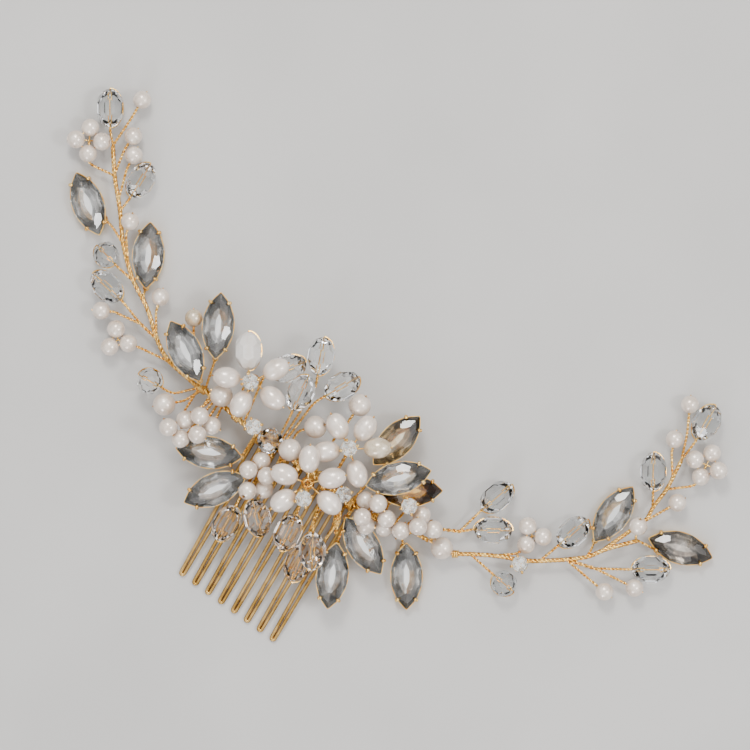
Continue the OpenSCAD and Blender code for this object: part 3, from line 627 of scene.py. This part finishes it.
def spray_wires(name, node, pearls, ovals, rounds, three, four, stones):
    """All the twigs of one spray: twisted to each bead, stone or bunch, plain through the beads."""
    twisted, plain = [], []
    n = 0
    for kind, half, width, up in ((pearls, PEARL / 2, 0, 0.4),
                                  (ovals, OVAL_LENGTH / 2, OVAL_WIDTH, -0.4),
                                  (rounds, ROUND_CRYSTAL / 2, ROUND_CRYSTAL, 0)):
        for root, knee, bead in kind:
            n += 1
            a, b = twig_to_bead(at(*root) + UP * up * MM, at(*knee), at(*bead), half, width,
                                0 if not width else (1 if n % 2 else -1), n)
            twisted += a
            plain += b
    for bunch, count in ((three, 3), (four, 4)):
        root, knee, middle = (at(*p) for p in bunch)
        n += 1
        twisted += twist(eased([root - UP * 0.4 * MM, knee, middle]), 2, TWIG, TWIG_PITCH, n)
        ring = bunch_places(bunch, count)
        loop = eased(ring + ring[:2], bend=1.2)
        plain.append(loop)
        plain += [[middle, p] for p in ring]
    for place, (root, knee) in stones:
        n += 1
        twisted += twist(eased([at(*root), at(*knee), meeting(place)]), 2, TWIG, TWIG_PITCH, n)
        end = meeting(place)
        plain.append(coil(end - UP * 0.5 * MM, end + UP * 0.7 * MM, 0.55, 3))
    return drawn(name, [(twisted, TWIG), (plain, THREAD)], node)


# ---------------------------------------------------------------- the sprays' wires
left_bend = [at(-30.55, 4.03, 3.15), at(-35.5, 5, 3)]
right_bend = [at(27.85, 0, 3), at(31.05, 0, 3)]
for name, line, node, other in (("left_bend_twist", left_bend, "left_bend_wire", "left_spray"),
                                ("right_bend_twist", right_bend, "right_bend_wire", "right_spray")):
    piece = drawn(name, [(twist(eased(line), 3, STEM, STEM_PITCH), STEM)])
    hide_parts(node)
    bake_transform(piece)

drawn("left_stem_twist", [(twist(eased([at(*p) for p in LEFT_STEM], 2.5), 3, STEM, STEM_PITCH), STEM)],
      "left_stem")
drawn("left_branch_twist", [(twist(eased([at(*p) for p in LEFT_BRANCH]), 2, 0.42, 2.2), 0.42)],
      "left_branch")
spray_wires("left_twig_twists", "left_twigs", LEFT_PEARLS, LEFT_OVALS, LEFT_ROUNDS, LEFT_THREE,
            LEFT_FOUR, LEFT_STONES)

lone_cup = at(*LONE_CUP)
drawn("right_stem_twist",
      [(twist(eased([at(*p) for p in RIGHT_STEM], 2.5), 3, STEM, STEM_PITCH), STEM),
       ([[at(31.3, 0), at(37.4, 0)], coil(at(37.1, 0), at(38.3, 0.7), 0.75, 3),
         coil(lone_cup - UP * 0.6 * MM, lone_cup + UP * 0.5 * MM, 0.8, 3)], 0.4)], "right_stem")
drawn("right_branch_twists",
      [(twist(eased([at(*p) for p in RIGHT_UPPER], 2.5), 3, 0.46, 2.7)
        + twist(eased([at(*p) for p in RIGHT_FORK]), 2, 0.46, 2.4)
        + twist(eased([at(31.56, 0.25), at(31.5, 3.2), at(36.2, 5.2)]), 2, 0.44, 2.4), 0.44)],
      "right_branches")
spray_wires("right_twig_twists", "right_twigs", RIGHT_PEARLS, RIGHT_OVALS, RIGHT_ROUNDS, RIGHT_THREE,
            RIGHT_FOUR, RIGHT_STONES)

# ---------------------------------------------------------------- the middle's wires
spine_line = eased([at(*p) for p in SPINE], 3)
drawn("spine_twist", [(twist(spine_line, 3, 0.6, 3.6), 0.6)], "spine_wire")
drawn("spine_windings", [([coil(on_spine(x - 0.9), on_spine(x + 0.9), 0.85, 4)
                           for x in (-28.5, -24, -19, 18.5, 23, 26)], 0.4)], "spine_wraps")
bar_line = [(bar_low + bar_high) / 2 + Vector((s * (bar_high.x - bar_low.x) / 2,
            -s * (bar_high.y - bar_low.y - 1.3 * MM) / 2, 0)) for s in (-1, 1)]
windings = []
for i in range(TEETH):
    t = 0.5 + (i - (TEETH - 1) / 2) * TOOTH_PITCH / BAR_SPAN
    half = 0.9 / BAR_SPAN
    rise = UP * 0.7 * MM
    windings.append(coil(bar_line[0].lerp(bar_line[1], t - half / 2) + rise,
                         bar_line[0].lerp(bar_line[1], t + half / 2) + rise, 1.66, 3, lead=i))
drawn("bar_winding", [(windings, 0.42)], "bar_binding")

# each tooth is one wire: down from the bar, round its tip and back up
loops = []
for i in range(TEETH):
    x = (i - (TEETH - 1) / 2) * TOOTH_PITCH
    y = -x * math.tan(math.radians(BAR_LEAN))
    half_top, half_tip, tip = 0.25 * TOOTH_PITCH, 0.42, y - TOOTH_LENGTH + 0.4
    down = [(x - half_top - 0.7, y + 1.3, 1.8), (x - half_top, y + 1.1, 1.8), (x - half_top, y - 4, 2.1),
            (x - half_top + 0.14, y - 14, 2.1), (x - half_top + 0.34, y - 26.25, 1.4)]
    ring = [(x + half_tip * math.cos(a), tip + half_tip * math.sin(a), 0.45)
            for a in [math.pi * (1 + k / 8) for k in range(9)]]
    up = [(2 * x - px, py, pz) for px, py, pz in reversed(down)]
    loops.append(eased([at(*p) for p in down + ring + up], 3, 0.6))
drawn("drawn_teeth", [(loops, TOOTH_WIRE)], "comb_teeth", comb_gold, sides=3)

twisted, plain = [], []
shapes = ((CENTRE_OVALS, OVAL_LENGTH / 2, OVAL_WIDTH), (CENTRE_ROUNDS, ROUND_CRYSTAL / 2, ROUND_CRYSTAL),
          (BIG_PEARLS, BIG_PEARL / 2, 0), (CENTRE_PEARLS, PEARL / 2, 0))
n = 0
for kind, half, width in shapes:
    for v in kind:
        n += 1
        middle, way = at(*v[:3]), way_of(v[3], v[4])
        a, b = twig_to_bead(on_spine(v[6]), middle - way * (half + v[5]) * MM, middle, half, width,
                            0 if not width else (1 if n % 2 else -1), n)
        twisted += a
        plain += b
for v in CENTRE_STONES:
    n += 1
    end = meeting(v)
    twisted += twist(eased([on_spine(v[6]), end]), 2, TWIG, TWIG_PITCH, n)
    plain.append(coil(end - UP * 0.5 * MM, end + UP * 0.7 * MM, 0.55, 3))
for v in LOOSE_STONES:
    n += 1
    twisted += twist(eased([on_spine(v[3]), at(v[0], v[1], v[2] - 0.1)]), 2, TWIG, TWIG_PITCH, n)
# the bundle of wire ends drawn together below the right-hand flower
rng = random.Random(5)
for k in range(7):
    a = at(8 + rng.uniform(-0.8, 0.8), -0.9, 5)
    b = at(11.4 + rng.uniform(-0.9, 0.9), -5.2 + rng.uniform(-0.7, 0.7), 8.5 + rng.uniform(-1, 0.6))
    c = at(11.9 + rng.uniform(-0.9, 0.9), -9.6 + rng.uniform(-1.2, 1), 7.6 + rng.uniform(-1.2, 0.6))
    twisted += twist(eased([a, b, c], 2.5), 2, TWIG, TWIG_PITCH, k)
drawn("middle_twig_twists", [(twisted, TWIG), (plain, THREAD)], "centre_twigs")

stalks, knots, threads = [], [], []
for hub, petals, stone in FLOWERS:
    middle = at(*hub)
    stalks += twist(eased([on_spine(hub[0]), middle - UP * 3 * MM, middle]), 2, 0.46, 2.2)
    knots.append([middle, at(*stone) + UP * 0.2 * MM])
    for k in range(6):      # loose turns of wire that pull the petals together
        tilt = (UP + way_of(k * 67) * (0.35 + 0.25 * (k % 3))).normalized()
        reach = 0.95 + 0.2 * (k % 3)
        lean = middle + way_of(k * 67) * 0.25 * MM + UP * (0.18 * k - 0.35) * MM
        knots.append(coil(lean - tilt * 0.12 * MM, lean + tilt * 0.12 * MM, reach, 1.1, lead=k))
    for heading, extra in petals:
        way = way_of(heading, PETAL_LIFT)
        far = 2.6 + RICE_LENGTH + extra + 0.25
        threads.append([middle + way * 0.7 * MM, middle + way * far * MM])
        threads.append([middle + way * 0.7 * MM + UP * 0.3 * MM,
                        middle + way * 2.9 * MM + UP * 0.12 * MM])
drawn("flower_knots", [(stalks, 0.46), (knots, THREAD)], "flower_hubs")
drawn("petal_threads", [(threads, 0.36)], "petal_wires")

# ---------------------------------------------------------------- beads
pearl_bead = round_bead("pearl", PEARL / 2, PEARL, 24)
big_pearl_bead = round_bead("big_pearl", BIG_PEARL / 2, BIG_PEARL, 28)
rice_bead = round_bead("rice", RICE_WIDTH / 2, RICE_LENGTH, 26)
oval_bead = cut_bead("oval", OVAL_LENGTH, OVAL_WIDTH, 8)
round_crystal = cut_bead("round_crystal", ROUND_CRYSTAL, ROUND_CRYSTAL, 8)

# The pearl at (-38.1, 16.6) takes the greyer, darker coat: painted shade where it sits in shadow.
for node in ("centre_left_pearls", "centre_middle_pearls", "centre_right_pearls", "left_small_pearls",
             "left_pearl_clusters", "right_small_pearls", "right_pearl_clusters"):
    set_out(pearl_bead, threaded(node, 1.0), node + "_drilled", node, pearl,
            (((-38.1, 16.6), shadowed_pearl_paint),))
for node in ("centre_big_pearls", "right_link_pearl"):
    set_out(big_pearl_bead, threaded(node, 1.0), node + "_drilled", node, pearl)
# The petal at (11.2, 12.1) takes the same greyer, darker coat: painted shade.
for node in ("flower_left_petals", "flower_right_petals", "flower_middle_petals"):
    set_out(rice_bead, threaded(node, 1.0), node + "_rice", node, rice_pearl,
            (((11.2, 12.1), shadowed_pearl_paint),))
for node in ("centre_upper_ovals", "left_oval_crystals", "right_oval_crystals"):
    set_out(oval_bead, threaded(node, 0.3), node + "_cut", node, crystal, (((-23.9, 16.4), milky),))
set_out(oval_bead, threaded("centre_lower_ovals", 0.3), "centre_lower_ovals_cut", "centre_lower_ovals",
        peach_crystal)
for node in ("centre_round_crystals", "left_round_crystal", "right_round_crystal"):
    set_out(round_crystal, threaded(node, 0.4), node + "_cut", node, crystal)

# ---------------------------------------------------------------- stones
marquise = pointed_stone("marquise", foil)
# A few stones have another foil behind them: where their middle is, and which.
OTHER_BACKS = (((14, 15.6), beige_foil), ((21.9, 7.4), amber_foil), ((80.1, 26.3), smoke_foil))
for node in ("centre_upper_stones", "centre_lower_stones", "left_stones", "right_stones"):
    set_out(marquise, laid(node, 1.5), node + "_cut", node, backs=OTHER_BACKS)
chaton = round_stone("chaton", foil)
for node in ("flower_stones", "centre_rhinestones", "right_rhinestone"):
    set_out(chaton, laid(node, 1.3), node + "_cut", node)
for master in (pearl_bead, big_pearl_bead, rice_bead, oval_bead, round_crystal, marquise, chaton):
    bpy.data.objects.remove(master)

# ---------------------------------------------------------------- CAD nodes that keep their shape
for node, obj in frame["nodes"].items():
    if obj.hide_render:
        continue
    obj.data.materials.clear()
    obj.data.materials.append(comb_gold if node.startswith("comb_") else setting_gold)

# ---------------------------------------------------------------- stage, lights and camera
bpy.ops.object.select_all(action="DESELECT")
bpy.ops.mesh.primitive_plane_add(size=3, location=(0, 0, -0.1 * MM))
floor = bpy.context.object
floor.name = "floor"
floor.data.materials.append(finish_of("matte pale board", 60, ("#B4B2AF", "#BCBAB7"), (0.6, 0.75),
                                      0.5, 0.1))


def softbox(name, place, size, power, tint="#FFFFFF"):
    """A square soft light that faces the middle of the piece."""
    light = bpy.data.lights.new(name, "AREA")
    light.shape, light.size, light.energy, light.color = "SQUARE", size, power, colour(tint)[:3]
    lamp = bpy.data.objects.new(name, light)
    lamp.location = place
    lamp.rotation_euler = (-Vector(place)).to_track_quat("-Z", "Y").to_euler()
    bpy.context.scene.collection.objects.link(lamp)


softbox("key", (-0.35, 0.45, 0.75), 0.22, 5.0, "#FFFDF8")
softbox("second", (0.45, 0.2, 0.7), 0.16, 2.6)
softbox("kicker", (0.15, -0.7, 0.4), 0.2, 2.0, "#F6F8FF")

# The studio round the table: dark only at table height, a bright band of diffusers above it, a
# little less bright overhead, and patchy, so that cut flats catch light and dark by turns.
world = bpy.data.worlds.new("studio")
bpy.context.scene.world = world
world.use_nodes = True
studio = world.node_tree.nodes
where = studio.new("ShaderNodeTexCoord")
parts = studio.new("ShaderNodeSeparateXYZ")
band = studio.new("ShaderNodeValToRGB")
patches = studio.new("ShaderNodeTexNoise")
patches.inputs["Scale"].default_value = 3.6
patches.inputs["Detail"].default_value = 1.0
mask = studio.new("ShaderNodeMapRange")
for key, value in (("From Min", 0.42), ("From Max", 0.58), ("To Min", 0.3), ("To Max", 1.9)):
    mask.inputs[key].default_value = value
band.color_ramp.elements[0].color = (0.12, 0.12, 0.1212, 1)
band.color_ramp.elements[1].color = (1, 1, 1, 1)
for height, grey in ((0.3, 0.9), (0.5, 1.5), (0.8, 1.5)):
    band.color_ramp.elements.new(height).color = (grey, grey, grey * 1.01, 1)
join = world.node_tree.links.new
join(where.outputs["Generated"], parts.inputs["Vector"])
join(where.outputs["Generated"], patches.inputs["Vector"])
join(parts.outputs["Z"], band.inputs["Fac"])
join(patches.outputs["Fac"], mask.inputs["Value"])
join(band.outputs["Color"], studio["Background"].inputs["Color"])
join(mask.outputs["Result"], studio["Background"].inputs["Strength"])

VIEW_CENTRE = BAR_MIDDLE + Vector((2.69, 25.66, 5)) * MM
VIEW_WIDTH, VIEW_DISTANCE = 164.8 * MM, 1.0
lens = bpy.data.cameras.new("camera")
lens.sensor_width = 36
lens.lens = 36 * VIEW_DISTANCE / VIEW_WIDTH
camera = bpy.data.objects.new("camera", lens)
camera.location = VIEW_CENTRE + UP * VIEW_DISTANCE
camera.rotation_euler = (0, 0, math.radians(30))
bpy.context.scene.collection.objects.link(camera)
bpy.context.scene.camera = camera
